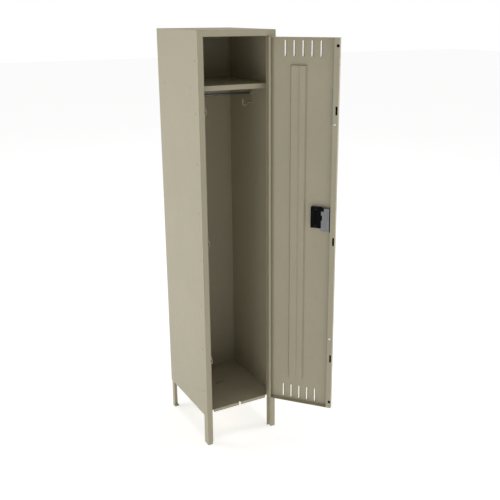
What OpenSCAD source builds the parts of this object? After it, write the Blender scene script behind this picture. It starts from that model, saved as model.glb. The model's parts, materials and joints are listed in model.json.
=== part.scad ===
// Single-tier school locker: a welded front frame on legs, bolted sheet panels, a hat shelf with
// a coat rod under it, and an inset louvred door with a lift latch, shown standing open.
// The origin is on the floor at the centre of the cabinet's footprint, +Z up, the door side at -Y.

/* [Cabinet] */
// Overall width
cabinet_w = 381; // [300:1:460]
// Overall depth
cabinet_d = 457.2; // [380:1:610]
// Overall height, legs included
cabinet_h = 1981.2; // [1700:1:2100]
// Height of the side panels' lower edge above the floor
leg_h = 152.4; // [120:1:180]
// Thickness of the panel sheet
sheet_t = 1.2; // [0.8:0.1:1.5]
// Height of the top face of the compartment floor
floor_z = 176; // [170:1:190]
// Height of the top face of the hat shelf
shelf_z = 1745; // [1500:1:1780]

/* [Front frame] */
// Width of the upright's face
face_w = 25.4; // [22:0.1:32]
// Depth of the upright's outer flange
upright_d = 41; // [34:0.5:45]
// Height of the head rail's face
head_h = 27.2; // [22:0.1:40]
// Width of the strike lip behind the door's free edge
strike_w = 12; // [8:0.5:14]
// Thickness of the frame sheet
frame_t = 1.5; // [1.2:0.1:2]

/* [Door] */
// Angle that the door stands open
door_open = 130.4; // [0:0.1:175]
// Width of the door
door_w = 322; // [260:1:324]
// Height of the door's lower edge
door_z = 180.3; // [180:0.1:190]
// Gap between the door's upper edge and the head rail
door_top_gap = 3.6; // [2:0.1:6]
// Thickness of the door pan, front to back
door_d = 20; // [18:0.5:21]
// Width of the return flange that hides the lock bar
return_w = 24.5; // [20:0.5:30]
// How far the latch lifts; the slots leave room for this travel
latch_lift = 12; // [8:1:14]

/* [Fittings] */
// Diameter of the coat rod
rod_d = 11; // [9:0.5:14]
// Reach of a coat hook from the wall
hook_reach = 48; // [35:1:55]
// Radius of the hinge pin
pin_r = 2; // [1.5:0.1:2.2]

/* [Hidden] */

putty = "#b3ad93";
putty_dark = "#a29c84";
steel = "#9a9ca0";
black = "#1a1a1a";
nylon = "#e6e6dc";

half_w = cabinet_w / 2;
open_half = half_w - face_w;
// A small overlap for cuts, so that a cut never ends on the face it opens
over = 1;

// Hinge line: at the front face, one knuckle radius from the right upright
knuckle_r = 3;
leaf_t = 1.2;
pivot_x = open_half - knuckle_r;
pivot_y = -1;
pin_play = 0.05;
hinge_h = 50;
knuckle_n = 5;
knuckle_gap = 0.4;
knuckle_h = (hinge_h - (knuckle_n - 1) * knuckle_gap) / knuckle_n;
hinge_zs = [420, 1065, 1710];
leaf_end = 17;

// The closed door: its hinge edge, its free edge and its top edge
edge_x = pivot_x - knuckle_r + leaf_t + sheet_t;
free_x = edge_x - door_w;
door_top = cabinet_h - head_h - door_top_gap;
strike_y = door_d + 1;

// Width of the lip turned in from the door's hinge flange
hinge_lip_w = 9;

// Louvres, from the hinge edge
louvre_n = 5;
louvre_pitch = 41;
louvre_first = 74;
louvre_w = 7;
louvre_out = 4.5;
// How far the slot runs past the hood's open edge
louvre_gap = 2.6;
top_louvre_z = 1868;
bottom_louvre_z = 195;
louvre_h = 69;

// Hooks on the jamb and the slots that they enter
hook_zs = [448, 1040, 1640];
slot_w = 9;
slot_h = 38;
hook_x = -open_half + 9.5;
hook_t = 3;

// Handle cup, from the hinge edge
cup_s = 206;
cup_w = 44;
cup_z = 1101;
cup_h = 94;
cup_d = 16;

// Side bolts
bolt_n = 8;
bolt_z0 = 283;
bolt_pitch = 224;
bolt_y = 34;
bolt_r = 2.5;
shank_r = bolt_r - 0.05;

// Heights of the bolts down each edge of the back
back_bolt_zs = [220, 560, 900, 1240, 1580, 1920];

// Rod and hooks: their place on the side walls
rod_place_y = cabinet_d / 2;
rod_z = 1685;
wall_x = half_w - sheet_t;

// Puts the cabinet's front plane at y = -cabinet_d / 2
module placed() {
    translate([0, -cabinet_d / 2, 0]) children();
}

// Puts a piece drawn on the closed door where the open door carries it
module on_door() {
    placed()
        translate([pivot_x, pivot_y, 0])
            rotate([0, 0, door_open])
                translate([-pivot_x, -pivot_y, 0]) children();
}

module both_sides() {
    children();
    mirror([1, 0, 0]) children();
}

// A box given by its lowest and highest corners
module block(low, high) {
    translate(low) cube(high - low);
}

// A cylinder along X, from x0 to x1
module rod_x(x0, x1, y, z, r) {
    translate([x0, y, z]) rotate([0, 90, 0]) cylinder(h = x1 - x0, r = r, $fn = 32);
}

// A cylinder along Y, from y0 to y1
module rod_y(y0, y1, x, z, r) {
    translate([x, y1, z]) rotate([90, 0, 0]) cylinder(h = y1 - y0, r = r, $fn = 32);
}

// ---------- Front frame ----------

// Plan of the right upright: outer flange, face, inner flange and strike lip
module upright_plan() {
    out_x = half_w - sheet_t;
    polygon([
        [out_x, 0], [out_x, upright_d], [out_x - frame_t, upright_d],
        [out_x - frame_t, frame_t], [open_half + frame_t, frame_t],
        [open_half + frame_t, strike_y + frame_t], [open_half - strike_w, strike_y + frame_t],
        [open_half - strike_w, strike_y], [open_half, strike_y], [open_half, 0]
    ]);
}

module upright() {
    difference() {
        linear_extrude(cabinet_h - sheet_t) upright_plan();
        for (i = [0 : bolt_n - 1])
            rod_x(half_w - 6, half_w + over, bolt_y, bolt_z0 + i * bolt_pitch, bolt_r);
    }
}

module right_upright() {
    color(putty) placed() upright();
}

module left_upright() {
    color(putty) placed() mirror([1, 0, 0]) upright();
}

// Channel between the uprights: face, upper flange under the roof and lower flange
module head_rail() {
    z1 = cabinet_h - sheet_t;
    z0 = cabinet_h - head_h;
    color(putty) placed() {
        block([-open_half, 0, z0], [open_half, frame_t, z1]);
        block([-open_half, 0, z0], [open_half, strike_y, z0 + frame_t]);
        block([-open_half, 0, z1 - frame_t], [open_half, strike_y, z1]);
    }
}

// ---------- Panels ----------

// Right side panel: outer skin, with a return flange at the back
module side_panel() {
    back_y = cabinet_d - sheet_t;
    difference() {
        union() {
            block([half_w - sheet_t, 0, leg_h], [half_w, back_y, cabinet_h - sheet_t]);
            block([half_w - 16, back_y - sheet_t, floor_z],
                [half_w, back_y, cabinet_h - sheet_t]);
        }
        for (i = [0 : bolt_n - 1])
            rod_x(half_w - 6, half_w + over, bolt_y, bolt_z0 + i * bolt_pitch, bolt_r);
        for (y = [90, 380])
            rod_x(half_w - 6, half_w + over, y, shelf_z - 10, bolt_r);
        rod_x(half_w - 6, half_w + over, rod_place_y, rod_z - 35, bolt_r);
        for (z = back_bolt_zs)
            rod_y(back_y - 4, back_y + over, half_w - 9, z, bolt_r);
    }
}

module right_side_panel() {
    color(putty) placed() side_panel();
}

module left_side_panel() {
    color(putty) placed() mirror([1, 0, 0]) side_panel();
}

module back_panel() {
    color(putty) placed() difference() {
        block([-half_w, cabinet_d - sheet_t, leg_h], [half_w, cabinet_d, cabinet_h - sheet_t]);
        for (z = back_bolt_zs) for (x = [-1, 1])
            rod_y(cabinet_d - 4, cabinet_d + over, x * (half_w - 9), z, bolt_r);
    }
}

// Flat roof that laps the panels, with a flange turned down inside each side and the back
module roof_panel() {
    inner = half_w - sheet_t;
    low = cabinet_h - 16;
    color(putty) placed() {
        block([-half_w, 0, cabinet_h - sheet_t], [half_w, cabinet_d, cabinet_h]);
        both_sides()
            block([inner - sheet_t, upright_d + 4, low], [inner, cabinet_d - 4, cabinet_h]);
        block([-inner + 16, cabinet_d - 2 * sheet_t, low],
            [inner - 16, cabinet_d - sheet_t, cabinet_h]);
    }
}

floor_front_y = strike_y + frame_t;
floor_flange_h = 15;
floor_notch_w = 8;
floor_bolt_x = 12;
floor_bolt_ys = [258, 425];

// Compartment floor: flanges turned down all round, clear of the uprights at the front corners
module floor_pan() {
    inner = half_w - sheet_t;
    lip_x = open_half - strike_w;
    back_y = cabinet_d - 2 * sheet_t;
    z0 = floor_z - floor_flange_h;
    color(putty_dark) placed() difference() {
        union() {
            block([-inner, upright_d + 1, floor_z - sheet_t], [inner, back_y, floor_z]);
            block([-open_half, floor_front_y, floor_z - sheet_t],
                [open_half, upright_d + 1 + over, floor_z]);
            translate([0, floor_front_y + sheet_t, 0]) rotate([90, 0, 0])
                linear_extrude(sheet_t) polygon([
                    [-lip_x + 6, floor_z], [-lip_x + 9, z0], [lip_x - 9, z0], [lip_x - 6, floor_z]
                ]);
            both_sides()
                block([inner - sheet_t, upright_d + 1, z0], [inner, back_y, floor_z]);
            block([-inner, back_y - sheet_t, z0], [inner, back_y, floor_z]);
        }
        block([-floor_notch_w / 2, floor_front_y - over, z0 - over],
            [floor_notch_w / 2, floor_front_y + 7, floor_z + over]);
        for (x = [-1, 1]) for (y = floor_bolt_ys)
            translate([x * floor_bolt_x, y, floor_z - 5]) cylinder(h = 10, r = bolt_r, $fn = 32);
    }
}

shelf_flange_h = 22;

// Hat shelf: a tray turned down at the front, the sides and the back
module hat_shelf() {
    inner = half_w - sheet_t;
    y0 = upright_d + 1.5;
    y1 = cabinet_d - 2 * sheet_t;
    z0 = shelf_z - shelf_flange_h;
    color(putty) placed() difference() {
        union() {
            block([-inner, y0, shelf_z - sheet_t], [inner, y1, shelf_z]);
            block([-inner, y0, z0], [inner, y0 + sheet_t, shelf_z]);
            block([-inner, y0, z0], [inner, y0 + 12, z0 + sheet_t]);
            block([-inner, y1 - sheet_t, z0], [inner, y1, shelf_z]);
            both_sides() block([inner - sheet_t, y0, z0], [inner, y1, shelf_z]);
        }
        both_sides() for (y = [90, 380])
            rod_x(half_w - 6, half_w + over, y, shelf_z - 10, bolt_r);
    }
}

// ---------- Legs at the back ----------

rear_leg_w = 25;
rear_leg_t = 2.5;
foot_hole_r = 3.5;

// Angle leg inside the right rear corner, with a foot turned forward that takes an anchor
module rear_leg() {
    x1 = half_w - 2 * sheet_t;
    y1 = cabinet_d - 3 * sheet_t;
    top = floor_z - sheet_t;
    difference() {
        union() {
            block([x1 - rear_leg_t, y1 - rear_leg_w, rear_leg_t], [x1, y1, top]);
            block([x1 - rear_leg_w, y1 - rear_leg_t, 0], [x1, y1, top]);
            block([x1 - rear_leg_w, y1 - rear_leg_w, 0], [x1, y1, rear_leg_t]);
        }
        translate([x1 - 14, y1 - 15, -over]) cylinder(h = 6, r = foot_hole_r, $fn = 48);
    }
}

module right_rear_leg() {
    color(putty) placed() rear_leg();
}

module left_rear_leg() {
    color(putty) placed() mirror([1, 0, 0]) rear_leg();
}

// ---------- Coat rod and hooks ----------

bracket_t = 2;

module coat_rod() {
    x1 = wall_x - bracket_t;
    color(steel) placed() rod_x(-x1, x1, rod_place_y, rod_z, rod_d / 2);
}

// Plate with a round cup for the rod's end
module rod_bracket() {
    x1 = wall_x;
    difference() {
        union() {
            block([x1 - bracket_t, rod_place_y - 26, rod_z - 10], [x1, rod_place_y + 26, rod_z + 28]);
            rod_x(x1 - 12, x1, rod_place_y, rod_z, rod_d / 2 + 2);
        }
        rod_x(x1 - 13, x1 - bracket_t, rod_place_y, rod_z, rod_d / 2);
    }
}

module rod_brackets() {
    color(putty) placed() both_sides() rod_bracket();
}

hook_r = 3.5;

// J hook on the right wall: a plate, an arm sloping down, a round bend and a raised tip
module coat_hook() {
    bend_r = 13;
    base_x = wall_x - 2;
    tip_x = wall_x - hook_reach;
    bend_x = tip_x + bend_r;
    bend_z = rod_z - 46;
    tip_h = 14;
    block([base_x, rod_place_y - 10, bend_z - 4], [wall_x, rod_place_y + 10, bend_z + 32]);
    rod_x(bend_x + bend_r, base_x + over, rod_place_y, bend_z, hook_r);
    translate([bend_x, rod_place_y, bend_z]) {
        rotate([90, 0, 0]) rotate([0, 0, 180])
            rotate_extrude(angle = 180, $fn = 48)
                translate([bend_r, 0]) circle(r = hook_r, $fn = 24);
        translate([-bend_r, 0, 0]) cylinder(h = tip_h, r = hook_r, $fn = 24);
        translate([-bend_r, 0, tip_h]) sphere(r = hook_r + 1, $fn = 32);
        translate([bend_r, 0, 0]) sphere(r = hook_r, $fn = 24);
    }
    rod_x(base_x - 2.5, half_w, rod_place_y, rod_z - 35, shank_r);
}

module right_coat_hook() {
    color(putty) placed() coat_hook();
}

module left_coat_hook() {
    color(putty) placed() mirror([1, 0, 0]) coat_hook();
}

// Hooks on the back of the left strike lip: each reaches through a slot of the closed door
module jamb_hooks() {
    color(putty) placed() for (z = hook_zs) {
        back = strike_y + frame_t;
        block([hook_x - 8, back, z - 22], [hook_x + 7, back + 2, z + 14]);
        block([hook_x + hook_t / 2 + 2, 11, z - 14], [hook_x + hook_t / 2 + 4, back + 2, z - 3]);
        block([hook_x + hook_t / 2 + 2, 11, z - 14], [hook_x + hook_t / 2 + 4, 14, z + 7]);
    }
}

// ---------- Fasteners of the cabinet ----------

// A truss-head bolt along X: its head stands out of the right side panel
module side_bolt(y, z, end_x) {
    rod_x(end_x, half_w + over, y, z, shank_r);
    translate([half_w, y, z]) rotate([0, 90, 0])
        cylinder(h = 2.2, r1 = 5.5, r2 = 3, $fn = 32);
}

module side_bolts() {
    color(putty) placed() both_sides()
        for (i = [0 : bolt_n - 1]) side_bolt(bolt_y, bolt_z0 + i * bolt_pitch, half_w - 8);
}

// A hexagonal nut along X, from x0 to x1
module hex_nut(x0, x1, y, z) {
    difference() {
        translate([x0, y, z]) rotate([0, 90, 0]) cylinder(h = x1 - x0, r = 4.9, $fn = 6);
        rod_x(x0 - over, x1 + over, y, z, bolt_r);
    }
}

module side_nuts() {
    x1 = half_w - sheet_t - frame_t;
    color(steel) placed() both_sides() for (i = [0 : bolt_n - 1])
        hex_nut(x1 - 4, x1, bolt_y, bolt_z0 + i * bolt_pitch);
}

module shelf_bolts() {
    x1 = half_w - 2 * sheet_t;
    color(putty) placed() both_sides() for (y = [90, 380]) {
        side_bolt(y, shelf_z - 10, half_w - 8);
        hex_nut(x1 - 4, x1, y, shelf_z - 10);
    }
}

module back_bolts() {
    color(putty) placed() for (z = back_bolt_zs) for (x = [-1, 1]) {
        rod_y(cabinet_d - 8, cabinet_d + over, x * (half_w - 9), z, shank_r);
        translate([x * (half_w - 9), cabinet_d, z]) rotate([-90, 0, 0])
            cylinder(h = 1.8, r1 = 5.2, r2 = 3, $fn = 32);
    }
}

// Bolts through the compartment floor, heads up
module floor_bolts() {
    color(steel) placed() for (x = [-1, 1]) for (y = floor_bolt_ys)
        translate([x * floor_bolt_x, y, 0]) {
            translate([0, 0, floor_z - 10]) cylinder(h = 10 + over, r = shank_r, $fn = 32);
            translate([0, 0, floor_z]) cylinder(h = 3.5, r = 5.5, $fn = 6);
            translate([0, 0, floor_z - sheet_t - 4]) difference() {
                cylinder(h = 4, r = 5, $fn = 6);
                translate([0, 0, -over]) cylinder(h = 6, r = bolt_r, $fn = 32);
            }
        }
}

// ---------- Hinges ----------

// One knuckle, numbered from the bottom of the hinge at height z
module knuckle(z, i, bore_r) {
    z0 = z - hinge_h / 2 + i * (knuckle_h + knuckle_gap);
    translate([pivot_x, pivot_y, z0]) difference() {
        cylinder(h = knuckle_h, r = knuckle_r, $fn = 48);
        translate([0, 0, -over]) cylinder(h = knuckle_h + 2 * over, r = bore_r, $fn = 48);
    }
}

// A leaf's strip at one knuckle, from the pin line back into the gap
module leaf_strip(x0, z, i, bore_r) {
    z0 = z - hinge_h / 2 + i * (knuckle_h + knuckle_gap);
    difference() {
        block([x0, pivot_y, z0], [x0 + leaf_t, leaf_end, z0 + knuckle_h]);
        translate([pivot_x, pivot_y, z0 - over])
            cylinder(h = knuckle_h + 2 * over, r = bore_r, $fn = 48);
    }
}

module hinge_frame_leaves() {
    x0 = open_half - leaf_t;
    color(putty) placed() for (z = hinge_zs) {
        block([x0, 3, z - hinge_h / 2], [open_half, leaf_end, z + hinge_h / 2]);
        for (i = [0, 2, 4]) {
            knuckle(z, i, pin_r);
            leaf_strip(x0, z, i, pin_r);
        }
    }
}

module hinge_pins() {
    color(steel) placed() for (z = hinge_zs)
        translate([pivot_x, pivot_y, z - hinge_h / 2 - 1])
            cylinder(h = hinge_h + 2, r = pin_r, $fn = 48);
}

module hinge_door_leaves() {
    x0 = pivot_x - knuckle_r;
    color(putty) on_door() for (z = hinge_zs) difference() {
        union() {
            block([x0, 3, z - hinge_h / 2], [x0 + leaf_t, leaf_end, z + hinge_h / 2]);
            for (i = [1, 3]) {
                knuckle(z, i, pin_r + pin_play);
                leaf_strip(x0, z, i, pin_r + pin_play);
            }
        }
        for (dz = [-15, 15])
            rod_x(x0 - over, x0 + leaf_t + over, 11, z + dz, 1.6);
    }
}

module hinge_rivets() {
    x0 = pivot_x - knuckle_r;
    color(steel) on_door() for (z = hinge_zs) for (dz = [-15, 15]) {
        rod_x(x0 - 1, edge_x, 11, z + dz, 1.6);
        rod_x(x0 - 1, x0, 11, z + dz, 3);
    }
}

// ---------- Door ----------

// Distance from the hinge edge, as an x on the closed door
function at(s) = edge_x - s;

// A pressed louvre: a hood on the outer face, open towards the hinge
module louvre_hood(s, z) {
    x0 = at(s) - louvre_w / 2;
    x1 = at(s) + louvre_w / 2;
    translate([0, 0, z]) {
        linear_extrude(louvre_h) polygon([
            [x0 - 4, 0], [x0 + 1, -louvre_out], [x1, -louvre_out],
            [x1, -louvre_out + 1], [x0 + 1.6, -louvre_out + 1], [x0 - 2.2, 0.5]
        ]);
        for (dz = [0, louvre_h - 1]) translate([0, 0, dz])
            linear_extrude(1) polygon([
                [x0 - 4, 0.5], [x0 - 4, 0], [x0 + 1, -louvre_out], [x1, -louvre_out], [x1, 0.5]
            ]);
    }
}

module louvre_slot(s, z) {
    block([at(s) - louvre_w / 2 - 1, -over, z + 1],
        [at(s) + louvre_w / 2 + louvre_gap, sheet_t + over, z + louvre_h - 1]);
}

// Door pan: skin, flanges on four sides and the return flange over the lock bar
module door_panel() {
    color(putty) on_door() difference() {
        union() {
            difference() {
                block([free_x, 0, door_z], [edge_x, door_d, door_top]);
                block([free_x + sheet_t, sheet_t, door_z + sheet_t],
                    [edge_x - sheet_t, door_d - sheet_t, door_top - sheet_t]);
                block([free_x + return_w, sheet_t, door_z + sheet_t],
                    [edge_x - hinge_lip_w, door_d + over, door_top - sheet_t]);
                for (i = [0 : louvre_n - 1]) {
                    louvre_slot(louvre_first + i * louvre_pitch, top_louvre_z);
                    louvre_slot(louvre_first + i * louvre_pitch, bottom_louvre_z);
                }
            }
            for (i = [0 : louvre_n - 1]) {
                louvre_hood(louvre_first + i * louvre_pitch, top_louvre_z);
                louvre_hood(louvre_first + i * louvre_pitch, bottom_louvre_z);
            }
        }
        for (z = hook_zs)
            block([hook_x - slot_w / 2 + 3, door_d - 3, z - slot_h / 2],
                [hook_x + slot_w / 2 + 3, door_d + over, z + slot_h / 2]);
        for (z = hinge_zs)
            block([pivot_x - knuckle_r - 0.6, -over, z - hinge_h / 2 - 2],
                [edge_x + over, 3, z + hinge_h / 2 + 2]);
        for (z = hinge_zs) for (dz = [-15, 15])
            rod_x(edge_x - 4, edge_x + over, 11, z + dz, 1.6);
        block([at(cup_s + cup_w), -over, cup_z], [at(cup_s), sheet_t + over, cup_z + cup_h]);
    }
}

stiff_s = 95;
stiff_w = 79;
stiff_z0 = 306;
stiff_z1 = 1829;
stiff_d = 9;
// Width of the stiffener's sloping sides, and half-width and depth of its crease
slope_w = 7;
crease_w = 8;
crease_d = 3;

// Stiffener: a shallow hat section with a crease down its middle
module door_stiffener() {
    x0 = at(stiff_s + stiff_w);
    x1 = at(stiff_s);
    mid = (x0 + x1) / 2;
    y0 = sheet_t;
    y1 = sheet_t + stiff_d;
    x_left = x0 + slope_w;
    x_right = x1 - slope_w;
    color(putty) on_door() translate([0, 0, stiff_z0]) linear_extrude(stiff_z1 - stiff_z0)
        polygon([
            [x0, y0], [x_left, y1], [mid - crease_w, y1], [mid, y1 - crease_d],
            [mid + crease_w, y1], [x_right, y1], [x1, y0], [x1 - sheet_t, y0],
            [x_right - 0.8, y1 - sheet_t], [mid + crease_w, y1 - sheet_t],
            [mid, y1 - crease_d - sheet_t], [mid - crease_w, y1 - sheet_t],
            [x_left + 0.8, y1 - sheet_t], [x0 + sheet_t, y0]
        ]);
}

// Recessed handle cup: a pressed pocket with a rim that laps the door's outer face
module handle_cup() {
    x0 = at(cup_s + cup_w);
    x1 = at(cup_s);
    rim = 6;
    color(steel) on_door() difference() {
        union() {
            block([x0 - rim, -1, cup_z - rim], [x1 + rim, 0, cup_z + cup_h + rim]);
            block([x0, -1, cup_z], [x1, cup_d, cup_z + cup_h]);
        }
        block([x0 + 1, -2, cup_z + 1], [x1 - 1, cup_d - 1, cup_z + cup_h - 1]);
        // Slot for the lift handle's tongue, with room for its travel
        block([x0 - over, 5, cup_z + 30], [x0 + 2, 12, cup_z + 62 + latch_lift]);
    }
}

cover_gap = 0.5;
cover_t = 2;

// Moulded cover over the back of the cup
module latch_cover() {
    x0 = at(cup_s + cup_w) - cover_gap - cover_t;
    x1 = at(cup_s) + cover_gap + cover_t;
    z0 = cup_z - cover_gap - cover_t;
    z1 = cup_z + cup_h + cover_gap + cover_t;
    color(black) on_door() difference() {
        union() {
            block([x0, sheet_t, z0], [x1, cup_d + cover_gap + cover_t, z1]);
            // Ear at the top that keeps the lift bracket in
            block([x0 - 13, 17.6, z1 - 18], [x0 + 4, 19.6, z1]);
        }
        block([x0 + cover_t, sheet_t - over, z0 + cover_t],
            [x1 - cover_t, cup_d + cover_gap, z1 - cover_t]);
        block([x0 - over, 4.5, cup_z + 29], [x0 + cover_t + over, 12.5, cup_z + 63 + latch_lift]);
        for (z = [z0 + 10, z1 - 10])
            rod_y(cup_d, cup_d + 6, (x0 + x1) / 2, z, 1.8);
    }
}

module cover_screws() {
    x = at(cup_s + cup_w / 2);
    color(black) on_door() for (dz = [7.5, cup_h - 7.5]) {
        rod_y(cup_d, cup_d + cover_gap + cover_t + 0.5, x, cup_z + dz, 1.75);
        rod_y(cup_d + cover_gap + cover_t, cup_d + cover_gap + cover_t + 1.2, x, cup_z + dz, 3.4);
    }
}

// ---------- Latch ----------

bar_x0 = free_x + 5.5;
bar_w = 13;
bar_y0 = 5;
bar_t = 3;

// Flat bar that slides in the latch channel
module lock_bar() {
    color(steel) on_door()
        block([bar_x0, bar_y0, hook_zs[0] - 36], [bar_x0 + bar_w, bar_y0 + bar_t, hook_zs[2] + 40]);
}

// Sprung catch at each hook, behind the slot of the return flange
module latch_clips() {
    color(black) on_door() for (z = hook_zs) {
        block([bar_x0, bar_y0 + bar_t, z - 30], [bar_x0 + bar_w, bar_y0 + bar_t + 1.5, z + 20]);
        block([bar_x0, bar_y0 + bar_t, z + 14], [bar_x0 + bar_w, door_d - sheet_t - 1, z + 20]);
        block([bar_x0, bar_y0 + bar_t, z - 30], [bar_x0 + bar_w, door_d - sheet_t - 1, z - 27]);
    }
    // Slide block on the bracket, in the mouth of the latch channel
    color(black) on_door()
        block([free_x + return_w + 0.5, bar_y0 + bar_t + 2, bracket_z0 - 4],
            [rise_x, door_d - 5, bracket_z1 + 4]);
}

// Guides that hold the bar in the channel, fixed inside the return flange
module bar_guides() {
    y1 = door_d - sheet_t;
    color(steel) on_door() for (g = [[1658, 4.5], [473, 0]]) {
        z = g[0];
        block([free_x + return_w - 5.5, y1 - 1.2, z - 78],
            [free_x + return_w + g[1], y1, z + 78]);
        block([free_x + return_w - 1.2, sheet_t, z - 78],
            [free_x + return_w, y1 - 1.2, z + 78]);
    }
}

// Nylon buttons at the guides' ends
module guide_buttons() {
    color(nylon) on_door() for (z = [1579, 551])
        rod_y(door_d, door_d + 1.5, free_x + 13.5, z, 5);
}

module door_bumpers() {
    color(black) on_door() for (z = [1916, 214]) {
        rod_y(door_d, door_d + 0.9, free_x + 7.5, z, 6.5);
    }
}

bracket_z0 = 1086;
bracket_z1 = 1194;
// Where the bracket rises out of the latch channel
rise_x = free_x + return_w + 5.5;
// Where the handle's tongue meets the bracket
tongue_x = at(cup_s + cup_w) - 9;

// Steel bracket that ties the handle to the lock bar
module lift_bracket() {
    x0 = bar_x0 + bar_w - 4;
    x1 = at(cup_s + cup_w) - cover_gap - cover_t - 0.5;
    y1 = door_d - 3;
    color(steel) on_door() difference() {
        union() {
            block([rise_x, y1 - 2, bracket_z0], [x1, y1, bracket_z1]);
            block([rise_x, bar_y0 + bar_t, bracket_z0], [rise_x + 2, y1, bracket_z1]);
            block([x0, bar_y0 + bar_t, bracket_z0], [rise_x + 2, bar_y0 + bar_t + 2, bracket_z1]);
            block([tongue_x - 2, 6, cup_z + 32], [tongue_x, y1, cup_z + 60]);
        }
        block([x1 - 5, y1 - 3, 1136], [x1 + over, y1 + over, 1160]);
    }
}

eye_r = 4.8;

// Handle in the cup: a finger plate, the tongue through the cup's slot and an eye for a padlock
module lift_handle() {
    x0 = at(cup_s + cup_w);
    x1 = at(cup_s);
    z0 = cup_z + 32;
    z1 = cup_z + 60;
    color(black) on_door() {
        block([x0 + 4, 3, z0 - 14], [x1 - 12, 5.5, z1 + 4]);
        block([x0 + 4, 3, z0 - 14], [x1 - 12, 10, z0 - 11]);
        block([tongue_x, 6.5, z0], [x0 + 8, 9, z1]);
        block([x0 + 4, 5, z0], [x0 + 8, 9, z1]);
        difference() {
            block([x1 - 15, 3, z0 - 2], [x1 - 12, 14, z1 + 4]);
            rod_x(x1 - 16, x1 - 11, 8.5, z0 + 14, eye_r - 0.8);
        }
    }
}

left_upright();
right_upright();
head_rail();
left_side_panel();
right_side_panel();
back_panel();
roof_panel();
floor_pan();
hat_shelf();
left_rear_leg();
right_rear_leg();
coat_rod();
rod_brackets();
left_coat_hook();
right_coat_hook();
jamb_hooks();
side_bolts();
side_nuts();
shelf_bolts();
back_bolts();
floor_bolts();
hinge_frame_leaves();
hinge_pins();
hinge_door_leaves();
hinge_rivets();
door_panel();
door_stiffener();
handle_cup();
latch_cover();
cover_screws();
bar_guides();
guide_buttons();
door_bumpers();
lock_bar();
latch_clips();
lift_bracket();
lift_handle();
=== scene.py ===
"""Looks for the school locker: materials, softened edges and a white studio around the CAD frame."""

import json
import math

import bpy
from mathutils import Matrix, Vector

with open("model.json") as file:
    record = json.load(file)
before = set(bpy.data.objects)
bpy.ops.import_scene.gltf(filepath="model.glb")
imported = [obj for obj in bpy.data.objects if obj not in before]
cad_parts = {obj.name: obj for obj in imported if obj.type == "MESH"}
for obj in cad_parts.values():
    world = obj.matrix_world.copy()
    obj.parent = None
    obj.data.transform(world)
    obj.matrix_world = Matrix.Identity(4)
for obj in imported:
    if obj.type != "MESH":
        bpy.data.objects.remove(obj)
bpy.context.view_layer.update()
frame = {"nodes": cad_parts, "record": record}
nodes = frame["nodes"]
scene = bpy.context.scene


# ---------- Materials ----------

# Socket numbers of a Mix node in colour mode
MIX_FACTOR, MIX_A, MIX_B, MIX_COLOUR = 0, 6, 7, 2
WHITE = (1, 1, 1, 1)


def new_material(name):
    m = bpy.data.materials.new(name)
    m.use_nodes = True
    t = m.node_tree
    t.nodes.clear()
    out = t.nodes.new("ShaderNodeOutputMaterial")
    shader = t.nodes.new("ShaderNodeBsdfPrincipled")
    t.links.new(shader.outputs[0], out.inputs[0])
    return m, t, shader


def coords(t, scale=(1, 1, 1)):
    co = t.nodes.new("ShaderNodeTexCoord")
    mp = t.nodes.new("ShaderNodeMapping")
    mp.inputs["Scale"].default_value = scale
    t.links.new(co.outputs["Object"], mp.inputs["Vector"])
    return mp.outputs["Vector"]


def noise(t, vec, scale, detail=3, rough=0.5):
    n = t.nodes.new("ShaderNodeTexNoise")
    n.inputs["Scale"].default_value = scale
    n.inputs["Detail"].default_value = detail
    n.inputs["Roughness"].default_value = rough
    t.links.new(vec, n.inputs["Vector"])
    return n.outputs["Fac"]


def ramp(t, fac, lo, hi, c0, c1):
    r = t.nodes.new("ShaderNodeValToRGB")
    r.color_ramp.elements[0].position = lo
    r.color_ramp.elements[1].position = hi
    r.color_ramp.elements[0].color = (*c0, 1)
    r.color_ramp.elements[1].color = (*c1, 1)
    t.links.new(fac, r.inputs["Fac"])
    return r.outputs["Color"]


def multiply(t, a, b):
    m = t.nodes.new("ShaderNodeMix")
    m.data_type = "RGBA"
    m.blend_type = "MULTIPLY"
    m.inputs[MIX_FACTOR].default_value = 1.0
    t.links.new(a, m.inputs[MIX_A])
    t.links.new(b, m.inputs[MIX_B])
    return m.outputs[MIX_COLOUR]


def span(t, fac, lo, hi):
    r = t.nodes.new("ShaderNodeMapRange")
    r.inputs["To Min"].default_value = lo
    r.inputs["To Max"].default_value = hi
    t.links.new(fac, r.inputs["Value"])
    return r.outputs["Result"]


def bump(t, height, strength, distance, normal=None):
    b = t.nodes.new("ShaderNodeBump")
    b.inputs["Strength"].default_value = strength
    b.inputs["Distance"].default_value = distance
    t.links.new(height, b.inputs["Height"])
    if normal is not None:
        t.links.new(normal, b.inputs["Normal"])
    return b.outputs["Normal"]


def shade(colour, k):
    return tuple(c * k for c in colour)


def grey(k):
    return (k, k, k)


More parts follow.
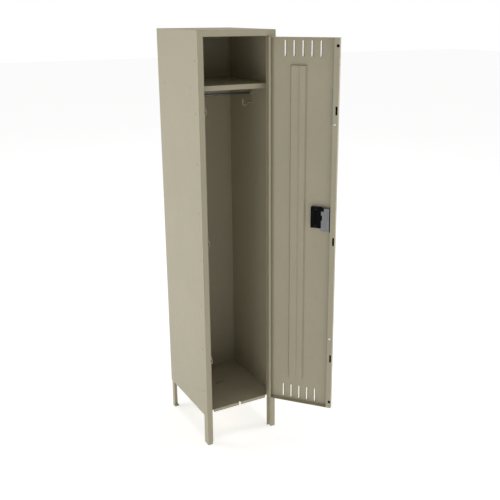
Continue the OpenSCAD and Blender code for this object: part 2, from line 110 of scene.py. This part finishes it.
def paint(name, colour, roughness):
    """Baked enamel on sheet steel: orange peel, faint clouding and a trace of waviness in the sheet."""
    m, t, s = new_material(name)
    v = coords(t)
    patches = noise(t, v, scale=3.1, detail=4)
    dirt = noise(t, v, scale=38, detail=5, rough=0.6)
    dots = noise(t, v, scale=900, detail=2)
    sheen = noise(t, v, scale=60, detail=4)
    cloud = ramp(t, patches, 0.3, 0.7, shade(colour, 0.965), shade(colour, 1.03))
    grime = ramp(t, dirt, 0.25, 0.6, grey(0.965), grey(1.0))
    speck = ramp(t, dots, 0.3, 0.7, grey(0.975), grey(1.015))
    t.links.new(multiply(t, multiply(t, cloud, grime), speck), s.inputs["Base Color"])
    t.links.new(span(t, sheen, roughness - 0.05, roughness + 0.07), s.inputs["Roughness"])
    wave = bump(t, noise(t, v, scale=6.5, detail=2), strength=0.25, distance=0.0012)
    peel_height = noise(t, v, scale=420, detail=3, rough=0.45)
    peel = bump(t, peel_height, strength=0.10, distance=0.0004, normal=wave)
    t.links.new(peel, s.inputs["Normal"])
    s.inputs["Specular IOR Level"].default_value = 0.4
    return m


def metal(name, colour, roughness, grain):
    """Plated or brushed steel: the grain is stretched along Z, with cloudy roughness."""
    m, t, s = new_material(name)
    v = coords(t)
    g = coords(t, grain)
    patches = noise(t, v, scale=25, detail=4)
    lines = noise(t, g, scale=240, detail=4)
    sheen = noise(t, g, scale=300, detail=3)
    scratches = noise(t, g, scale=500, detail=3)
    base = ramp(t, patches, 0.3, 0.7, shade(colour, 0.88), shade(colour, 1.08))
    streak = ramp(t, lines, 0.3, 0.7, grey(0.88), grey(1.0))
    t.links.new(multiply(t, base, streak), s.inputs["Base Color"])
    s.inputs["Metallic"].default_value = 1.0
    t.links.new(span(t, sheen, roughness - 0.07, roughness + 0.09), s.inputs["Roughness"])
    t.links.new(bump(t, scratches, strength=0.12, distance=0.0003), s.inputs["Normal"])
    return m


def plastic(name, colour, roughness, gloss, grain_scale=1500):
    """Moulded plastic, rubber or black oxide: a fine grain and slightly uneven colour."""
    m, t, s = new_material(name)
    v = coords(t)
    patches = noise(t, v, scale=70, detail=4)
    sheen = noise(t, v, scale=200, detail=3)
    grain = noise(t, v, scale=grain_scale, detail=2)
    base = ramp(t, patches, 0.3, 0.7, shade(colour, 0.85), shade(colour, 1.15))
    t.links.new(base, s.inputs["Base Color"])
    t.links.new(span(t, sheen, roughness - 0.06, roughness + 0.08), s.inputs["Roughness"])
    t.links.new(bump(t, grain, strength=0.2, distance=0.0002), s.inputs["Normal"])
    s.inputs["Specular IOR Level"].default_value = gloss
    return m


PUTTY = (0.412, 0.374, 0.264)
ZINC = (0.20, 0.203, 0.212)
STAINLESS = (0.5, 0.5, 0.5)
BLACK_NYLON = (0.0035, 0.0035, 0.0038)
BLACK_OXIDE = (0.008, 0.008, 0.008)
NATURAL_NYLON = (0.86, 0.85, 0.8)
BLACK_RUBBER = (0.003, 0.003, 0.003)
mats = {
    "putty_paint": paint("putty_enamel", PUTTY, roughness=0.42),
    "zinc_steel": metal("zinc_plate", ZINC, roughness=0.38, grain=(1, 1, 0.08)),
    "cup_steel": metal("brushed_stainless", STAINLESS, roughness=0.3, grain=(1, 1, 0.05)),
    "black_plastic": plastic("black_nylon", BLACK_NYLON, roughness=0.45, gloss=0.05),
    "black_steel": plastic("black_oxide", BLACK_OXIDE, roughness=0.4, gloss=0.3),
    "white_nylon": plastic("natural_nylon", NATURAL_NYLON, roughness=0.4, gloss=0.5),
    "black_rubber": plastic(
        "black_rubber", BLACK_RUBBER, roughness=0.65, gloss=0.05, grain_scale=900
    ),
}
slots = {s["node"]: s["material_slot"] for s in frame["record"]["subparts"]}


def dress(obj, slot):
    obj.data.materials.clear()
    obj.data.materials.append(mats[slot])


WELD_GAP = 0.00001
BEVEL_SEGMENTS = 2
SHARP_ANGLE = math.radians(32)


def soften(obj, width):
    """Weld the imported facets, then round every sharp edge a little."""
    w = obj.modifiers.new("weld", "WELD")
    w.merge_threshold = WELD_GAP
    b = obj.modifiers.new("edge", "BEVEL")
    b.width = width
    b.segments = BEVEL_SEGMENTS
    b.limit_method = "ANGLE"
    b.angle_limit = SHARP_ANGLE
    b.harden_normals = False
    b.use_clamp_overlap = True
    n = obj.modifiers.new("normals", "WEIGHTED_NORMAL")
    n.keep_sharp = True


# Edge radii in metres: thin sheet, then the thicker pieces
SHEET_BEVEL = 0.00035
BEVELS = {
    "left_upright": 0.0006,
    "right_upright": 0.0006,
    "head_rail": 0.0006,
    "latch_cover": 0.0008,
}
for name, obj in nodes.items():
    dress(obj, slots[name])
    soften(obj, BEVELS.get(name, SHEET_BEVEL))


# ---------- Stage ----------

FLOOR_HALF = 30
FLOOR_Z = -0.0002
# Glow of the floor: its strength close to the locker and far away, and where those apply
NEAR, NEAR_GLOW = 1.5, 0.53
FAR, FAR_GLOW = 5.0, 0.72

floor_mesh = bpy.data.meshes.new("studio_floor")
floor_mesh.from_pydata(
    [
        (-FLOOR_HALF, -FLOOR_HALF, FLOOR_Z),
        (FLOOR_HALF, -FLOOR_HALF, FLOOR_Z),
        (FLOOR_HALF, FLOOR_HALF, FLOOR_Z),
        (-FLOOR_HALF, FLOOR_HALF, FLOOR_Z),
    ],
    [],
    [(0, 1, 2, 3)],
)
floor = bpy.data.objects.new("studio_floor", floor_mesh)
scene.collection.objects.link(floor)
fm, ft, fs = new_material("studio_floor")
fs.inputs["Base Color"].default_value = (0.82, 0.82, 0.81, 1)
fs.inputs["Roughness"].default_value = 0.7
fs.inputs["Emission Color"].default_value = WHITE
# Brighter far away, so that the floor runs into the white backdrop without a strong line
fpos = ft.nodes.new("ShaderNodeNewGeometry")
flen = ft.nodes.new("ShaderNodeVectorMath")
flen.operation = "LENGTH"
fmap = ft.nodes.new("ShaderNodeMapRange")
fmap.inputs["From Min"].default_value = NEAR
fmap.inputs["From Max"].default_value = FAR
fmap.inputs["To Min"].default_value = NEAR_GLOW
fmap.inputs["To Max"].default_value = FAR_GLOW
ft.links.new(fpos.outputs["Position"], flen.inputs[0])
ft.links.new(flen.outputs["Value"], fmap.inputs["Value"])
ft.links.new(fmap.outputs["Result"], fs.inputs["Emission Strength"])
floor_mesh.materials.append(fm)

# The backdrop is seen as pure white and lights the locker far less
BACKDROP_SEEN = 1.0
BACKDROP_LIGHT = 0.29
world = bpy.data.worlds.new("studio")
scene.world = world
world.use_nodes = True
wt = world.node_tree
wt.nodes.clear()
wout = wt.nodes.new("ShaderNodeOutputWorld")
wseen = wt.nodes.new("ShaderNodeBackground")
wlight = wt.nodes.new("ShaderNodeBackground")
wmix = wt.nodes.new("ShaderNodeMixShader")
wpath = wt.nodes.new("ShaderNodeLightPath")
wseen.inputs["Color"].default_value = WHITE
wseen.inputs["Strength"].default_value = BACKDROP_SEEN
wlight.inputs["Color"].default_value = WHITE
wlight.inputs["Strength"].default_value = BACKDROP_LIGHT
wt.links.new(wpath.outputs["Is Camera Ray"], wmix.inputs[0])
wt.links.new(wlight.outputs[0], wmix.inputs[1])
wt.links.new(wseen.outputs[0], wmix.inputs[2])
wt.links.new(wmix.outputs[0], wout.inputs[0])

LIGHT_SIDE = 2.5
LIGHT_AIM = Vector((0, 0, 1.0))


def softbox(name, place, power):
    """A square lamp of this many watts that looks at the middle of the locker."""
    d = bpy.data.lights.new(name, "AREA")
    d.shape = "RECTANGLE"
    d.size = d.size_y = LIGHT_SIDE
    d.energy = power
    o = bpy.data.objects.new(name, d)
    scene.collection.objects.link(o)
    o.location = place
    o.rotation_euler = (LIGHT_AIM - Vector(place)).to_track_quat("-Z", "Y").to_euler()


softbox("left_back", (-4.2, 2.8, 2.2), 67)
softbox("left_front", (-4.6, -1.8, 1.6), 20)
softbox("front_right", (3.2, -4.0, 2.0), 13)
softbox("right", (5.0, -1.0, 2.0), 104)
softbox("top", (0.0, 0.0, 5.5), 86)

# ---------- Camera ----------

CAMERA_PLACE = (-1.49697, -3.13136, 2.05290)
CAMERA_DOWN = 16.77
CAMERA_RIGHT = 29.78
SENSOR_WIDTH = 36
FOCAL_LENGTH = 52.745
FRAME_SHIFT = (-0.0411, -0.0340)

cam_data = bpy.data.cameras.new("camera")
cam = bpy.data.objects.new("camera", cam_data)
scene.collection.objects.link(cam)
cam.location = CAMERA_PLACE
cam.rotation_euler = (math.radians(90 - CAMERA_DOWN), 0, math.radians(-CAMERA_RIGHT))
cam_data.sensor_width = SENSOR_WIDTH
cam_data.lens = FOCAL_LENGTH
cam_data.shift_x, cam_data.shift_y = FRAME_SHIFT
scene.camera = cam
scene.view_settings.view_transform = "Standard"
